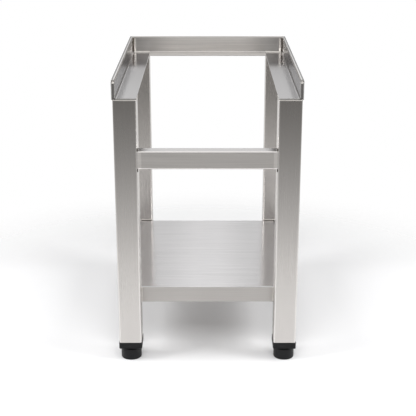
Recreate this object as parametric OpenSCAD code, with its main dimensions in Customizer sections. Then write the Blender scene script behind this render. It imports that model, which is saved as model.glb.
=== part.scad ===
// Open stand for an outdoor pizza oven, in stainless steel.
// Four box-section legs carry a U-shaped top frame of folded sheet, open at the front.
// A crossrail ties the front legs, and a tray-shaped shelf sits between two low side rails.
// Each leg stands on a black foot that screws in and out to level the stand.
// Millimetres, +Z up. The origin is on the floor under the middle, and the open front faces -Y.

/* [Overall] */
// Width over the outer leaves of the side upstands
overall_w = 400; // [360:5:480]
// Depth over the collars of the front feet and the outer leaf of the back upstand
overall_d = 550; // [460:5:700]
// Height of the top flange, on which the oven stands
bench_h = 605; // [520:5:760]

/* [Legs] */
// Side of the square leg tube
leg_w = 50; // [40:1:60]
// Wall of the leg tube
leg_wall = 2; // [1.5:0.5:3]
// Outside corner radius of the leg tube
leg_corner_r = 4; // [3.5:0.5:6]
// Thickness of the plate that closes the top of a leg
cap_t = 2; // [1.5:0.5:4]

/* [Top frame] */
// Thickness of the folded sheet
sheet_t = 2; // [1.5:0.25:3]
// Height of the upstand above the flange
upstand_h = 40; // [28:1:60]
// Clear gap between the two leaves of the upstand
hem_gap = 4.5; // [3:0.5:6]
// Inside radius of the fold between flange and upstand
fold_r = 3; // [2:0.5:4]
// How far the outer leaf stands out from the legs
leaf_overhang = 1.5; // [0.5:0.25:1.75]
// Gap between the lower edge of the outer leaf and the top of the legs
leaf_gap = 1; // [0.5:0.25:2]

/* [Crossrail] */
// Height of the rail between the front legs
rail_h = 40; // [25:1:60]
// Depth of the rail between the front legs
rail_d = 30; // [20:1:40]
// Wall of the rail
rail_wall = 2; // [1.5:0.5:3]
// Outside corner radius of the rail
rail_corner_r = 3.5; // [3.5:0.5:5]
// Drop from the top flange to the top of the rail
rail_drop = 114; // [60:1:200]

/* [Shelf] */
// Height of the shelf's top above the floor
shelf_h = 160; // [110:5:260]
// Thickness of the shelf's sheet
shelf_t = 1.5; // [1:0.25:2]
// Height of the shelf's turned-down edges
lip_h = 37; // [20:1:45]
// Inside radius of the shelf's folds
shelf_fold_r = 2; // [1:0.5:3]
// Width of the low side rails
side_rail_w = 20; // [15:1:30]
// Height of the low side rails
side_rail_h = 40; // [25:1:50]
// Wall of the low side rails
side_rail_wall = 1.5; // [1:0.25:2]
// Outside corner radius of the low side rails
side_rail_corner_r = 3; // [2.5:0.5:4]
// Gap between the shelf and each side rail
shelf_clear = 0.5; // [0.25:0.25:0.75]

/* [Shelf stiffener] */
// Width of the channel under the shelf
channel_w = 40; // [25:1:60]
// Depth of the channel under the shelf
channel_h = 18; // [10:1:25]
// Width of the flanges that join the channel to the shelf
channel_flange = 15; // [10:1:25]

/* [Feet] */
// Diameter of the foot pad
pad_dia = 46; // [36:1:54]
// Height of the foot pad
pad_h = 26; // [20:1:35]
// Edge radius of the foot pad
pad_edge_r = 1.5; // [0.5:0.25:2.5]
// Gap between the pad and the collar
foot_gap = 2.5; // [1:0.25:6]
// Height of the square collar under a leg
collar_h = 15; // [12:0.5:20]
// How far the collar stands out from the leg on each side
collar_overhang = 1; // [0.5:0.25:2]
// Chamfer around the collar's lower edge
collar_chamfer = 2; // [0.5:0.25:3]
// Height of the plug inside the leg
plug_h = 25; // [15:1:40]
// Wall of the plug
plug_wall = 3; // [2:0.5:4]
// Gap between the plug and the inside of the leg
plug_clear = 0.2; // [0.1:0.05:0.5]

/* [Foot thread] */
// Diameter of the threaded stud
stud_dia = 10; // [8:1:12]
// Length of stud held in the pad
stud_grip = 15; // [10:1:18]
// How far the foot can be screwed out
foot_travel = 24; // [10:1:30]
// Thread still above the nut when the foot is screwed right out
thread_spare = 8.5; // [3:0.5:15]
// Running gap around the stud in the nut and in the pad
thread_clear = 0.05; // [0.02:0.01:0.09]
// Gap around the stud in the plug
plug_bore_clear = 0.5; // [0.3:0.1:1]
// Width of the nut across its flats
nut_af = 17; // [15:1:19]
// Height of the nut
nut_h = 8; // [6:0.5:9]
// How far the nut is set up inside the collar
nut_recess = 2; // [1:0.5:3]

/* [Hidden] */
$fn = 64;

steel = [0.72, 0.71, 0.69];
steel_shade = [0.62, 0.61, 0.59];
zinc = [0.66, 0.67, 0.68];
black_plastic = [0.13, 0.13, 0.13];

// One overrun serves every cut
overrun = 5;

half_w = overall_w / 2;
half_d = overall_d / 2;
front_y = -half_d + collar_overhang;

// Outside and inside faces of the legs
leg_out_x = half_w - leaf_overhang;
leg_in_x = leg_out_x - leg_w;
leg_x = leg_out_x - leg_w / 2;
front_leg_y = front_y + leg_w / 2;
rear_leg_y = half_d - leaf_overhang - leg_w / 2;
bay_front_y = front_leg_y + leg_w / 2;
bay_back_y = rear_leg_y - leg_w / 2;

// Levels, from the floor up
collar_z = pad_h + foot_gap;
leg_z = collar_z + collar_h;
leg_top_z = bench_h - sheet_t - cap_t;
nut_z = collar_z + nut_recess;
nut_top_z = nut_z + nut_h;
stud_z = pad_h - stud_grip;
stud_top_z = nut_top_z + foot_travel + thread_spare;
shelf_under_z = shelf_h - shelf_t;

// The upstand is two leaves of sheet with a round top
hem_w = 2 * sheet_t + hem_gap;
hem_r = hem_w / 2;
leaf_bottom = leaf_gap - sheet_t - cap_t;
flange_reach = leaf_overhang + leg_w;

// The plate on a leg clears the outer leaf of the upstand
cap_leaf_clear = 0.5;
cap_inset = sheet_t - leaf_overhang + cap_leaf_clear;

// The shelf lies between the side rails, and from the front legs to the rear legs
shelf_half_w = leg_out_x - side_rail_w - shelf_clear;
shelf_d = bay_back_y - bay_front_y;
shelf_y = (bay_front_y + bay_back_y) / 2;
shelf_edge_r = shelf_fold_r + shelf_t;
channel_l = 2 * (shelf_half_w - shelf_t - shelf_fold_r);

// The stud ends a little above the bottom of its hole in the pad
stud_end_clear = 0.3;
boss_wall = 3;
nut_chamfer = 0.8;
stud_chamfer = 1;

// Outline of a rectangle with round corners, centred
module rounded_rect(w, d, r) {
    square([w - 2 * r, d], center = true);
    square([w, d - 2 * r], center = true);
    for (x = [-1, 1], y = [-1, 1])
        translate([x * (w / 2 - r), y * (d / 2 - r)])
            circle(r);
}

// Section of a box tube, centred
module tube_section(w, d, r, wall) {
    difference() {
        rounded_rect(w, d, r);
        rounded_rect(w - 2 * wall, d - 2 * wall, r - wall);
    }
}

// Leg and foot positions: side is -1 on the left, and y is the leg's middle
module at_leg(side, y, z) {
    translate([side * leg_x, y, z])
        children();
}

module leg(side, y) {
    color(steel)
        at_leg(side, y, leg_z)
            linear_extrude(leg_top_z - leg_z)
                tube_section(leg_w, leg_w, leg_corner_r, leg_wall);
}

module leg_cap(side, y) {
    color(steel_shade)
        at_leg(side, y, leg_top_z)
            linear_extrude(cap_t)
                rounded_rect(leg_w - 2 * cap_inset, leg_w - 2 * cap_inset, leg_corner_r - cap_inset);
}

// Section of the folded sheet: x runs inward from the outer leaf, y up from the top of the flange
module upstand_section() {
    cap_y = upstand_h - hem_r;
    fold_x = hem_w + fold_r;
    fold_out_r = fold_r + sheet_t;
    // Outer leaf
    translate([0, leaf_bottom])
        square([sheet_t, cap_y - leaf_bottom]);
    // Round top that joins the leaves
    translate([hem_r, cap_y])
        intersection() {
            difference() {
                circle(hem_r);
                circle(hem_gap / 2);
            }
            translate([-hem_w, 0])
                square([2 * hem_w, hem_w]);
        }
    // Inner leaf
    translate([hem_w - sheet_t, fold_r])
        square([sheet_t, cap_y - fold_r]);
    // Fold between the inner leaf and the flange
    translate([fold_x, fold_r])
        intersection() {
            difference() {
                circle(fold_out_r);
                circle(fold_r);
            }
            translate([-fold_out_r, -fold_out_r])
                square(fold_out_r);
        }
    // Flange
    translate([fold_x, -sheet_t])
        square([flange_reach - fold_x, sheet_t]);
}

// Folded sheet that runs back from the origin, with its outer leaf on x = 0
module upstand_length(l) {
    rotate([90, 0, 0])
        linear_extrude(l)
            upstand_section();
}

// Plan of what a side upstand leaves to the back upstand, cut on the mitre through the hem
module side_end_cut() {
    linear_extrude(2 * bench_h)
        polygon([
            [-half_w - overrun, half_d + overrun],
            [-half_w + hem_w, half_d - hem_w],
            [-leg_in_x + overrun, half_d - hem_w],
            [-leg_in_x + overrun, half_d + overrun]
        ]);
}

// Plan of what the back upstand leaves to the left upstand: the flange, and its side of the mitre
module back_end_cut() {
    linear_extrude(2 * bench_h)
        polygon([
            [-half_w - overrun, half_d + overrun],
            [-half_w + hem_w, half_d - hem_w],
            [-leg_in_x, half_d - hem_w],
            [-leg_in_x, bay_back_y - overrun],
            [-half_w - overrun, bay_back_y - overrun]
        ]);
}

module side_upstand() {
    color(steel)
        difference() {
            translate([-half_w, half_d, bench_h])
                upstand_length(half_d - front_y);
            side_end_cut();
        }
}

module back_upstand() {
    color(steel)
        difference() {
            translate([half_w, half_d, bench_h])
                rotate([0, 0, -90])
                    upstand_length(overall_w);
            back_end_cut();
            mirror([1, 0, 0])
                back_end_cut();
        }
}

// Box tube between the front legs, flush with their front faces
module front_crossrail() {
    color(steel)
        translate([-leg_in_x, front_y + rail_d / 2, bench_h - rail_drop - rail_h / 2])
            rotate([90, 0, 90])
                linear_extrude(2 * leg_in_x)
                    tube_section(rail_d, rail_h, rail_corner_r, rail_wall);
}

// Low rail between a front leg and a rear leg, flush with their outside faces
module side_rail(side) {
    color(steel_shade)
        translate([side * (leg_out_x - side_rail_w / 2), bay_back_y, shelf_h - side_rail_h / 2])
            rotate([90, 0, 0])
                linear_extrude(shelf_d)
                    tube_section(side_rail_w, side_rail_h, side_rail_corner_r, side_rail_wall);
}

// Section of a block with two round upper corners, its top on y = 0
module round_top_section(w, h, r) {
    translate([-w / 2, -h])
        square([w, h - r]);
    translate([-w / 2 + r, -r])
        square([w - 2 * r, r]);
    for (x = [-1, 1])
        translate([x * (w / 2 - r), -r])
            circle(r);
}

// Block whose four upper edges are round, its top on z = 0
module round_top_block(w, d, h, r) {
    intersection() {
        translate([0, d / 2, 0])
            rotate([90, 0, 0])
                linear_extrude(d)
                    round_top_section(w, h, r);
        translate([-w / 2, 0, 0])
            rotate([90, 0, 90])
                linear_extrude(w)
                    round_top_section(d, h, r);
    }
}

// Tray of folded sheet, open below
module lower_shelf() {
    color(steel)
        translate([0, shelf_y, shelf_h])
            difference() {
                round_top_block(2 * shelf_half_w, shelf_d, lip_h, shelf_edge_r);
                translate([0, 0, -shelf_t])
                    round_top_block(
                        2 * (shelf_half_w - shelf_t), shelf_d - 2 * shelf_t, lip_h, shelf_fold_r);
            }
}

// Hat-shaped channel that stiffens the middle of the shelf from below
module shelf_stiffener() {
    out_x = channel_w / 2;
    in_x = out_x - shelf_t;
    tip_x = out_x + channel_flange;
    color(steel_shade)
        translate([-channel_l / 2, shelf_y, shelf_under_z])
            rotate([90, 0, 90])
                linear_extrude(channel_l)
                    polygon([
                        [-tip_x, 0], [-in_x, 0], [-in_x, shelf_t - channel_h], [in_x, shelf_t - channel_h],
                        [in_x, 0], [tip_x, 0], [tip_x, -shelf_t], [out_x, -shelf_t],
                        [out_x, -channel_h], [-out_x, -channel_h], [-out_x, -shelf_t], [-tip_x, -shelf_t]
                    ]);
}

// Side view of the collar, with a chamfer along its lower edges
module collar_section(w) {
    polygon([
        [-w / 2 + collar_chamfer, 0], [w / 2 - collar_chamfer, 0],
        [w / 2, collar_chamfer], [w / 2, collar_h],
        [-w / 2, collar_h], [-w / 2, collar_chamfer]
    ]);
}

module collar() {
    w = leg_w + 2 * collar_overhang;
    intersection() {
        linear_extrude(collar_h)
            rounded_rect(w, w, leg_corner_r + collar_overhang);
        translate([0, w / 2, 0])
            rotate([90, 0, 0])
                linear_extrude(w)
                    collar_section(w);
        translate([-w / 2, 0, 0])
            rotate([90, 0, 90])
                linear_extrude(w)
                    collar_section(w);
    }
}

// Hollow plug inside the leg, with a round boss for the stud
module plug() {
    w = leg_w - 2 * (leg_wall + plug_clear);
    r = leg_corner_r - leg_wall;
    difference() {
        linear_extrude(plug_h)
            rounded_rect(w, w, r);
        linear_extrude(plug_h + overrun)
            difference() {
                square(w - 2 * plug_wall, center = true);
                circle(nut_af / 2 + boss_wall);
                square([w, plug_wall], center = true);
                square([plug_wall, w], center = true);
            }
    }
}

module leg_insert(side, y) {
    nut_hole_h = nut_recess + nut_h;
    color(black_plastic)
        at_leg(side, y, collar_z)
            difference() {
                union() {
                    collar();
                    translate([0, 0, collar_h])
                        plug();
                }
                cylinder(h = collar_h + plug_h + overrun, d = stud_dia + 2 * plug_bore_clear);
                translate([0, 0, -overrun])
                    hexagon_bar(nut_hole_h + overrun);
            }
}

// Hexagon bar as wide as the nut, from z = 0 up
module hexagon_bar(h) {
    cylinder(h = h, r = nut_af / 2 / cos(30), $fn = 6);
}

module foot_nut(side, y) {
    corner_r = nut_af / 2 / cos(30);
    flat_r = corner_r - nut_chamfer;
    at_leg(side, y, nut_z)
        difference() {
            intersection() {
                hexagon_bar(nut_h);
                rotate_extrude()
                    polygon([
                        [0, 0], [flat_r, 0], [corner_r, nut_chamfer],
                        [corner_r, nut_h - nut_chamfer], [flat_r, nut_h], [0, nut_h]
                    ]);
            }
            translate([0, 0, -overrun])
                cylinder(h = nut_h + 2 * overrun, d = stud_dia + 2 * thread_clear);
        }
}

module foot_nuts() {
    color(zinc)
        for (side = [-1, 1], y = [front_leg_y, rear_leg_y])
            foot_nut(side, y);
}

module foot_stud(side, y) {
    stud_l = stud_top_z - stud_z;
    stud_r = stud_dia / 2;
    color(zinc)
        at_leg(side, y, stud_z)
            rotate_extrude()
                polygon([
                    [0, 0], [stud_r, 0], [stud_r, stud_l - stud_chamfer],
                    [stud_r - stud_chamfer, stud_l], [0, stud_l]
                ]);
}

// Half section of the pad, with both outer edges round
module pad_section() {
    pad_r = pad_dia / 2;
    square([pad_r - pad_edge_r, pad_h]);
    translate([0, pad_edge_r])
        square([pad_r, pad_h - 2 * pad_edge_r]);
    for (z = [pad_edge_r, pad_h - pad_edge_r])
        translate([pad_r - pad_edge_r, z])
            circle(pad_edge_r);
}

module foot_pad(side, y) {
    color(black_plastic)
        at_leg(side, y, 0)
            difference() {
                rotate_extrude()
                    pad_section();
                translate([0, 0, stud_z - stud_end_clear])
                    cylinder(h = pad_h, d = stud_dia + 2 * thread_clear);
            }
}

leg(-1, front_leg_y);  // leg_front_left
leg(1, front_leg_y);  // leg_front_right
leg(-1, rear_leg_y);  // leg_rear_left
leg(1, rear_leg_y);  // leg_rear_right
leg_cap(-1, front_leg_y);  // leg_cap_front_left
leg_cap(1, front_leg_y);  // leg_cap_front_right
leg_cap(-1, rear_leg_y);  // leg_cap_rear_left
leg_cap(1, rear_leg_y);  // leg_cap_rear_right
side_upstand();  // side_upstand_left
mirror([1, 0, 0]) side_upstand();  // side_upstand_right
back_upstand();
front_crossrail();
side_rail(-1);  // side_rail_left
side_rail(1);  // side_rail_right
lower_shelf();
shelf_stiffener();
leg_insert(-1, front_leg_y);  // leg_insert_front_left
leg_insert(1, front_leg_y);  // leg_insert_front_right
leg_insert(-1, rear_leg_y);  // leg_insert_rear_left
leg_insert(1, rear_leg_y);  // leg_insert_rear_right
foot_nuts();
foot_stud(-1, front_leg_y);  // foot_stud_front_left
foot_stud(1, front_leg_y);  // foot_stud_front_right
foot_stud(-1, rear_leg_y);  // foot_stud_rear_left
foot_stud(1, rear_leg_y);  // foot_stud_rear_right
foot_pad(-1, front_leg_y);  // foot_pad_front_left
foot_pad(1, front_leg_y);  // foot_pad_front_right
foot_pad(-1, rear_leg_y);  // foot_pad_rear_left
foot_pad(1, rear_leg_y);  // foot_pad_rear_right
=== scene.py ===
# %% [markdown]
# # A stainless steel stand for an outdoor pizza oven
#
# The stand is made of very few shapes: box tube, folded sheet and black plastic feet.
# All of its beauty is in the finish, so this lesson is about two matters.
# The first is edges: no folded or sawn edge is razor sharp, and the thin bright line along it tells
# the eye that a surface is real sheet metal.
# The second is brushed steel, which is nothing but a reflection that is smeared across its grain.
#
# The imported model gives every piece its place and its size.

import math

import bmesh
import bpy
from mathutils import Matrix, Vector


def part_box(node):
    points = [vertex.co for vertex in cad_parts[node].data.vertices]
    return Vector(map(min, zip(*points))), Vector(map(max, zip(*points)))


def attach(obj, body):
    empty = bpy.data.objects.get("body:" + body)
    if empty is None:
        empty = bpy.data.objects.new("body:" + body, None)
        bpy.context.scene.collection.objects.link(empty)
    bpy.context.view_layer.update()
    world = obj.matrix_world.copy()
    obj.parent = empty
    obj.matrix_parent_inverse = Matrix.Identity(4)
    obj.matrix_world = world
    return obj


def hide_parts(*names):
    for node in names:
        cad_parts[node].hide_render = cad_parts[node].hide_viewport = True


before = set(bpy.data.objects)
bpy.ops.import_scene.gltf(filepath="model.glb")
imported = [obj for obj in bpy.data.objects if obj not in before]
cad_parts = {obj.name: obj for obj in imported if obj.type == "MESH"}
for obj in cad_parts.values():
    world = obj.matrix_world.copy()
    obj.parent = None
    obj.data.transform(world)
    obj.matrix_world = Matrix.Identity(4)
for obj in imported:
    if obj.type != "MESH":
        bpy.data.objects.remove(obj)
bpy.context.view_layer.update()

MM = 0.001
X, Y, Z = 0, 1, 2
CORNERS = ("front_left", "front_right", "rear_left", "rear_right")
SIDES = ((-1, "left"), (1, "right"))

# %% [markdown]
# ## The camera
#
# The photograph looks at the open front from about a metre up, a little to neither side.
# A long lens keeps the legs nearly parallel. The camera is level from side to side and tilts down,
# with no lens shift, so that every other view of the stand stays centred too.

# %% Set up the camera
LENS_MM = 87.7
CAMERA_BACK = 2062 * MM
CAMERA_UP = 1071 * MM
CAMERA_SIDE = 1 * MM
TILT_DOWN = math.radians(18.9)

front_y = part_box("leg_front_left")[0].y
bpy.ops.object.camera_add(
    location=(CAMERA_SIDE, front_y - CAMERA_BACK, CAMERA_UP),
    rotation=(math.pi / 2 - TILT_DOWN, 0, 0))
camera = bpy.context.object
camera.name = "camera"
camera.data.lens = LENS_MM
bpy.context.scene.camera = camera
bpy.context.scene.view_settings.view_transform = "Standard"
print("The camera stands", CAMERA_BACK, "m in front of the legs, with a lens of", LENS_MM, "mm")

# %% [markdown]
# ## The studio
#
# Metal has no colour of its own to speak of: it shows the room. A photographer of steel therefore
# lights the room and not the object. The floor and the air around it are white, soft lamps hang in
# front and at both sides, and dark cloth hangs where the steel should darken.
#
# A darker world could take the place of the cloth, but would turn the background grey as well.
#
# Materials are built from nodes, which a few short helpers make and join.

# %% Make helpers for nodes
WHITE = (1, 1, 1, 1)


def add_node(tree, kind, **values):
    """Adds a shader node and sets its inputs, whose names are written with _ for a space."""
    node = tree.nodes.new("ShaderNode" + kind)
    for name, value in values.items():
        node.inputs[name.replace("_", " ")].default_value = value
    return node


def feed(tree, value, socket):
    """Gives a socket a number, or links another socket to it."""
    if isinstance(value, (int, float)):
        socket.default_value = value
    else:
        tree.links.new(value, socket)


def add_math(tree, operation, first, second):
    """One sum of a node tree. Both values are sockets or numbers."""
    node = add_node(tree, "Math")
    node.operation = operation
    feed(tree, first, node.inputs[0])
    feed(tree, second, node.inputs[1])
    return node.outputs[0]


def add_mix(tree, factor, first, second):
    """A mix of two shaders."""
    mix = add_node(tree, "MixShader")
    feed(tree, factor, mix.inputs["Fac"])
    feed(tree, first.outputs[0], mix.inputs[1])
    feed(tree, second.outputs[0], mix.inputs[2])
    return mix


print("Four helpers add, feed and mix nodes")

# %% [markdown]
# The air gives only a little soft light, but is pure white for whatever looks at it: the camera, a
# reflection or a glass. A light path node tells the two apart, so the background can be white
# without more light on the stand.

# %% Fill the air with white light
AMBIENT = 0.275

world = bpy.data.worlds.new("white_room")
bpy.context.scene.world = world
world.use_nodes = True
tree = world.node_tree
tree.nodes.clear()
path = add_node(tree, "LightPath").outputs
seen = add_math(tree, "MAXIMUM", path["Is Camera Ray"], path["Is Glossy Ray"])
seen = add_math(tree, "MAXIMUM", seen, path["Is Transmission Ray"])
soft_air = add_node(tree, "Background", Color=WHITE, Strength=AMBIENT)
white_air = add_node(tree, "Background", Color=WHITE, Strength=1.0)
mix = add_mix(tree, seen, soft_air, white_air)
feed(tree, mix.outputs[0], add_node(tree, "OutputWorld").inputs["Surface"])
print("The air lights the stand at a strength of", AMBIENT)

# %% [markdown]
# A tool works on all that is selected, so everything is put down before a new piece is made. Once
# shaped, the piece is settled: it gets its name, and its place goes into its mesh.

# %% Clear the bench


def put_down():
    """Leaves edit mode with nothing selected, so the next tool touches only its own piece."""
    if bpy.context.mode != "OBJECT":
        bpy.ops.object.mode_set(mode="OBJECT")
    bpy.ops.object.select_all(action="DESELECT")


def settle(name):
    """Names the new piece and moves its place into its mesh."""
    piece = bpy.context.object
    piece.name = name
    piece.data.name = name
    bpy.ops.object.transform_apply(location=True, rotation=True, scale=True)
    return piece


put_down()
print("The bench is clear, in", bpy.context.mode.lower(), "mode")

# %% [markdown]
# The floor is a pale sheet with a faint gloss, in which the feet are just mirrored. Around the stand
# it takes the shadow, and further out it fades into the white of the air, so that no edge of it shows.

# %% Lay the floor
FLOOR_HALF = 2.6
FADE_FROM = 0.42
FADE_TO = 1.0
FLOOR_WHITE = (0.930, 0.931, 0.939, 1)
FLOOR_GLOSS = 0.05
FLOOR_ROUGHNESS = 0.22


def new_paint(name):
    """A new material and its node tree."""
    paint = bpy.data.materials.new(name)
    paint.use_nodes = True
    return paint, paint.node_tree


def distance_from_stand(tree):
    """How far a point of the studio lies from the middle of the stand, and the point itself."""
    place = add_node(tree, "TexCoord").outputs["Object"]
    length = add_node(tree, "VectorMath")
    length.operation = "LENGTH"
    feed(tree, place, length.inputs[0])
    return length.outputs["Value"], place


def ramp(tree, value, start, end, low=0.0, high=1.0):
    """A soft step from low at start to high at end."""
    step = add_node(tree, "MapRange", From_Min=start, From_Max=end, To_Min=low, To_Max=high)
    step.interpolation_type = "SMOOTHSTEP"
    feed(tree, value, step.inputs["Value"])
    return step.outputs[0]


put_down()
bpy.ops.mesh.primitive_plane_add(size=2 * FLOOR_HALF, location=(0, 0, 0))
floor = settle("floor")
floor_paint, tree = new_paint("pale_floor")
tree.nodes.clear()
matt = add_node(tree, "BsdfDiffuse", Color=FLOOR_WHITE)
gloss = add_node(tree, "BsdfAnisotropic", Color=WHITE, Roughness=FLOOR_ROUGHNESS)
surface = add_mix(tree, FLOOR_GLOSS, matt, gloss)
fade = ramp(tree, distance_from_stand(tree)[0], FADE_FROM, FADE_TO)
faded = add_mix(tree, fade, surface, add_node(tree, "BsdfTransparent"))
feed(tree, faded.outputs[0], add_node(tree, "OutputMaterial").inputs["Surface"])
floor.data.materials.append(floor_paint)
print("The floor fades out", FADE_TO, "m from the stand")

# %% [markdown]
# One lamp hangs above and in front. Two wide ones stand at the sides, low enough that their light
# reaches in under the shelf, so the shadow on the floor is a soft patch that is darkest in the middle.
# The front lamp is kept out of the reflections, where it would burn a white spot into the rear legs.

# %% Hang the lamps
FRONT_LAMP = {"place": (0, -1.6, 2.0), "size": 1.2, "watts": 20.5}
SIDE_LAMP = {"place": (1.70, -0.5, 1.45), "size": 1.1, "watts": 30}
AIM = Vector((0, 0, 0.15))


def softbox(name, place, size, watts):
    """A square soft lamp that faces the stand."""
    turn = (AIM - Vector(place)).to_track_quat("-Z", "Y").to_euler()
    bpy.ops.object.light_add(type="AREA", location=place, rotation=turn)
    lamp = bpy.context.object
    lamp.name = name
    lamp.data.shape = "SQUARE"
    lamp.data.size = size
    lamp.data.energy = watts
    return lamp


softbox("front_softbox", **FRONT_LAMP).visible_glossy = False
for side, name in SIDES:
    across, depth, height = SIDE_LAMP["place"]
    softbox(name + "_softbox", (side * across, depth, height), SIDE_LAMP["size"], SIDE_LAMP["watts"])
print("Hung 3 lamps, of", FRONT_LAMP["watts"], "and twice", SIDE_LAMP["watts"], "W")

# %% [markdown]
# ## Dark cloth for the reflections
#
# The dye of the cloth is a flat grey that glows a little, mixed with clear air by a factor that each
# cloth works out for itself. A studio hangs such cloth just outside the picture. Here it is hidden
# from the camera, from soft light and from shadows, so it can stand anywhere.

# %% Mix the dye
CLOTH_GREY = (0.110, 0.106, 0.101, 1)
CLEAR_BEHIND_FROM = -0.3
CLEAR_BEHIND_TO = 1.0


def dye(name, factor_of):
    """A grey that only shows where factor_of(tree) is above 0."""
    cloth_paint, tree = new_paint(name)
    tree.nodes.clear()
    clear = add_node(tree, "BsdfTransparent")
    grey = add_node(tree, "Emission", Color=CLOTH_GREY)
    mix = add_mix(tree, factor_of(tree), clear, grey)
    feed(tree, mix.outputs[0], add_node(tree, "OutputMaterial").inputs["Surface"])
    return cloth_paint


def only_for_gloss(cloth, paint):
    """Paints a cloth and hides it from all but the reflections."""
    cloth.data.materials.append(paint)
    for eye in ("camera", "diffuse", "shadow", "transmission", "volume_scatter"):
        setattr(cloth, "visible_" + eye, False)
    print("Hung the", cloth.name)


def split_axes(tree, place):
    """The X, Y and Z sockets of a place."""
    axes = add_node(tree, "SeparateXYZ")
    feed(tree, place, axes.inputs[0])
    return axes.outputs


def clear_behind(tree, place):
    """1 in front of the stand and 0 behind it."""
    depth = split_axes(tree, place)[Y]
    return ramp(tree, depth, CLEAR_BEHIND_FROM, CLEAR_BEHIND_TO, 1.0, 0.0)


print("The grey gives way up to", CLEAR_BEHIND_TO, "m behind the stand")

# %% [markdown]
# The front legs are bright at the foot and grow darker towards the top. Near the feet they mirror the
# white floor close by, and higher up they mirror the floor further away, which gets less light.
# A grey cloth on the floor gives the same change: it is clear near the stand, and its grey grows with
# the distance as light falls off. Behind the stand there is none, so the shelf mirrors plain white.

# %% Lay out the dark cloth
CLOTH_RADIUS = 4.0
CLOTH_LIFT = 3 * MM
CLEAR_WITHIN = 0.72
FALL_OFF = 1.0
ALWAYS_GREY = 0.14


def floor_factor(tree):
    """Grows from almost nothing near the stand towards 1 far in front of it."""
    distance, place = distance_from_stand(tree)
    beyond = add_math(tree, "SUBTRACT", distance, CLEAR_WITHIN)
    beyond = add_math(tree, "MAXIMUM", beyond, 0.0)
    left = add_math(tree, "MULTIPLY", beyond, -1 / FALL_OFF)
    base = add_math(tree, "EXPONENT", left, 0.0)
    taken = add_math(tree, "SUBTRACT", 1.0, base)
    grey = add_math(tree, "MAXIMUM", taken, ALWAYS_GREY)
    return add_math(tree, "MULTIPLY", grey, clear_behind(tree, place))


put_down()
bpy.ops.mesh.primitive_circle_add(vertices=64, radius=CLOTH_RADIUS, fill_type="NGON",
                                  location=(0, 0, CLOTH_LIFT))
only_for_gloss(settle("floor_cloth"), dye("floor_cloth", floor_factor))

# %% [markdown]
# Above the edge of the floor cloth stands a curtain of the same grey. It is dense near the floor, thin
# above it, and ends softly at its top.
# Behind the stand it is lower. The flat flanges mirror it there and turn grey, while the
# shelf is seen more steeply, mirrors what is above the curtain, and stays bright.

# %% Hang the curtain
CURTAIN_LOW = 0.0
CURTAIN_HIGH = 3.8
CURTAIN_FADE = 1.6
CURTAIN_DENSE = 1.0
CURTAIN_THIN = 0.5
BACK_HIGH = 1.5
BACK_FADE = 0.4
BACK_THICKNESS = 0.8


def curtain_factor(tree):
    """Dense near the floor and thin above it in front, and lower behind the stand."""
    place = distance_from_stand(tree)[1]
    height = split_axes(tree, place)[Z]
    dense = ramp(tree, height, CURTAIN_LOW, CURTAIN_DENSE, 1.0, CURTAIN_THIN)
    soft_top = ramp(tree, height, CURTAIN_HIGH - CURTAIN_FADE, CURTAIN_HIGH, 1.0, 0.0)
    whole = add_node(tree, "Mix")
    feed(tree, clear_behind(tree, place), whole.inputs["Factor"])
    behind = ramp(tree, height, BACK_HIGH - BACK_FADE, BACK_HIGH, BACK_THICKNESS, 0.0)
    feed(tree, behind, whole.inputs["A"])
    feed(tree, add_math(tree, "MULTIPLY", dense, soft_top), whole.inputs["B"])
    return whole.outputs["Result"]


put_down()
middle = (0, 0, (CURTAIN_HIGH + CURTAIN_LOW) / 2)
bpy.ops.mesh.primitive_cylinder_add(vertices=64, radius=CLOTH_RADIUS, depth=CURTAIN_HIGH - CURTAIN_LOW,
                                    end_fill_type="NOTHING", location=middle)
only_for_gloss(settle("curtain"), dye("curtain_cloth", curtain_factor))

# %% [markdown]
# ## Patterns for a finish
#
# A finish is never one flat value. Noise that is squeezed hard along the grain gives fine streaks,
# and wide noise gives clouds. Both read Object coordinates, so no piece needs a UV map.

# %% Make the patterns
NOISE_LOW = 0.3
NOISE_HIGH = 0.7


def noise(tree, place, scale, detail, location=(0, 0, 0)):
    """Noise on Object coordinates, squeezed by a scale for each axis. Gives its factor."""
    mapping = add_node(tree, "Mapping", Scale=scale, Location=location)
    feed(tree, place, mapping.inputs["Vector"])
    texture = add_node(tree, "TexNoise", Scale=1.0, Detail=detail)
    feed(tree, mapping.outputs[0], texture.inputs["Vector"])
    return texture.outputs["Fac"]


def spread(tree, factor, value, share):
    """Turns a noise factor into values around one value, up to a share of it to both sides."""
    span = add_node(tree, "MapRange", From_Min=NOISE_LOW, From_Max=NOISE_HIGH,
                    To_Min=value * (1 - share), To_Max=value * (1 + share))
    feed(tree, factor, span.inputs["Value"])
    return span.outputs[0]


def times(tree, first, second):
    """The product of two values."""
    return add_math(tree, "MULTIPLY", first, second)


def finish_with(tree, surface, colour, tone, polish, relief, strength, depth):
    """Gives a surface a toned colour, a roughness and a fine relief."""
    toned = add_node(tree, "VectorMath")
    toned.operation = "SCALE"
    toned.inputs[0].default_value = colour
    feed(tree, tone, toned.inputs["Scale"])
    feed(tree, toned.outputs[0], surface.inputs["Base Color"])
    feed(tree, polish, surface.inputs["Roughness"])
    bump = add_node(tree, "Bump", Strength=strength, Distance=depth)
    feed(tree, relief, bump.inputs["Height"])
    feed(tree, bump.outputs[0], surface.inputs["Normal"])


print("Noise is read between", NOISE_LOW, "and", NOISE_HIGH)

# %% [markdown]
# ## Brushed stainless steel
#
# Brushing leaves fine scratches in one direction. A scratch mirrors light sharply along itself and
# smears it sideways, so the finish needs three things.
# The roughness is stretched across the grain, which is what the anisotropic setting does.
# Fine streaks along the grain change the tone, the roughness and the surface a little.
# Faint bands and clouds keep a plain face from looking flat.

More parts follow.
